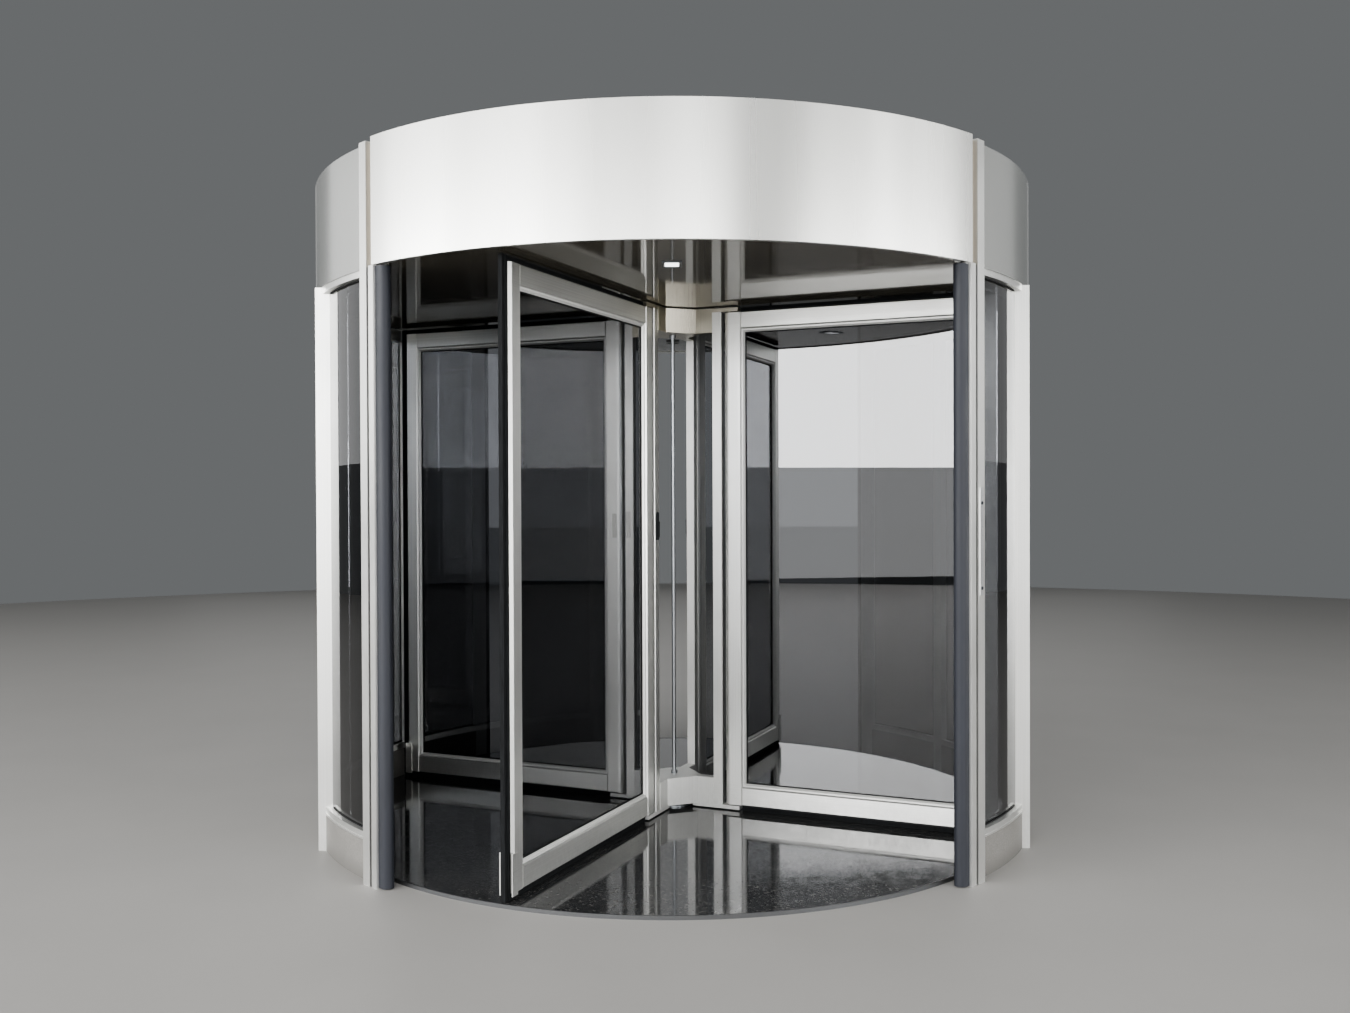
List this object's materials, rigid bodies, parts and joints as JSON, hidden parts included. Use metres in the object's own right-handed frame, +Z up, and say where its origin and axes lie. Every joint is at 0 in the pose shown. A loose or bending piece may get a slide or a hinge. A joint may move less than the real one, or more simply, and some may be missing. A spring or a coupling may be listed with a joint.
{
  "type": "four-wing revolving door",
  "caption": "Round four-wing revolving door with a sheet-clad canopy, curved glass side walls, door posts with safety edges and folding framed wings on a centre cage.",
  "frame": {"origin": "the drum's axis on the ground", "axes": "+Z up along the rotor's axis, -Y towards the street, +X to the right as seen from the street"},
  "size_m": [3.34, 3.3996, 2.916],
  "materials": {
    "granite": "polished",
    "floor_trim": "satin",
    "post_aluminium": "satin",
    "edge_rubber": "matte",
    "wall_aluminium": "satin",
    "plinth_stone": "honed",
    "wall_glass": "polished",
    "fascia_sheet": "satin",
    "side_sheet": "semi-gloss",
    "roof_sheet": "mill",
    "ceiling_gloss": "polished",
    "lamp_lens": "frosted",
    "plate_steel": "brushed",
    "bearing_steel": "turned",
    "hub_aluminium": "brushed",
    "rod_steel": "polished",
    "cage_aluminium": "satin",
    "latch_plastic": "moulded",
    "wing_aluminium": "brushed",
    "wing_glass": "polished",
    "seal_brush": "matte"
  },
  "bodies": {
    "drum": {"floor_disc": "granite", "floor_edge_trims": "floor_trim", "door_post_front_left": "post_aluminium", "door_post_front_right": "post_aluminium", "door_post_back_left": "post_aluminium", "door_post_back_right": "post_aluminium", "safety_edge_front_left": "edge_rubber", "safety_edge_front_right": "edge_rubber", "safety_edge_back_left": "edge_rubber", "safety_edge_back_right": "edge_rubber", "wall_jambs_left": "wall_aluminium", "wall_jambs_right": "wall_aluminium", "wall_plinth_left": "plinth_stone", "wall_plinth_right": "plinth_stone", "wall_channels_left": "wall_aluminium", "wall_channels_right": "wall_aluminium", "wall_glass_left": "wall_glass", "wall_glass_right": "wall_glass", "canopy_front": "fascia_sheet", "canopy_back": "fascia_sheet", "canopy_left": "side_sheet", "canopy_right": "side_sheet", "ceiling": "ceiling_gloss", "ceiling_lamps": "lamp_lens", "canopy_roof": "roof_sheet", "post_plate": "plate_steel", "shaft_bearings": "bearing_steel"},
    "rotor": {"hub_bottom": "hub_aluminium", "hub_top": "hub_aluminium", "centre_rod": "rod_steel", "cage_posts": "cage_aluminium", "cage_latches": "latch_plastic"},
    "wing_1": {"wing_frame_1": "wing_aluminium", "wing_glass_1": "wing_glass", "wing_seals_1": "seal_brush"},
    "wing_2": {"wing_frame_2": "wing_aluminium", "wing_glass_2": "wing_glass", "wing_seals_2": "seal_brush"},
    "wing_3": {"wing_frame_3": "wing_aluminium", "wing_glass_3": "wing_glass", "wing_seals_3": "seal_brush"},
    "wing_4": {"wing_frame_4": "wing_aluminium", "wing_glass_4": "wing_glass", "wing_seals_4": "seal_brush"}
  },
  "joints": [
    {"name": "rotor_spin", "type": "hinge", "parent": "drum", "child": "rotor", "pos_m": [0, 0, 0.03], "axis": [0, 0, 1], "continuous": true},
    {"name": "wing_1_fold", "type": "hinge", "parent": "rotor", "child": "wing_1", "pos_m": [0.11962, 0.27512, 0.045], "axis": [0, 0, 1], "range_deg": [0, 90]},
    {"name": "wing_2_fold", "type": "hinge", "parent": "rotor", "child": "wing_2", "pos_m": [-0.27512, 0.11962, 0.045], "axis": [0, 0, 1], "range_deg": [0, 90]},
    {"name": "wing_3_fold", "type": "hinge", "parent": "rotor", "child": "wing_3", "pos_m": [-0.11962, -0.27512, 0.045], "axis": [0, 0, 1], "range_deg": [0, 90]},
    {"name": "wing_4_fold", "type": "hinge", "parent": "rotor", "child": "wing_4", "pos_m": [0.27512, -0.11962, 0.045], "axis": [0, 0, 1], "range_deg": [0, 90]}
  ]
}
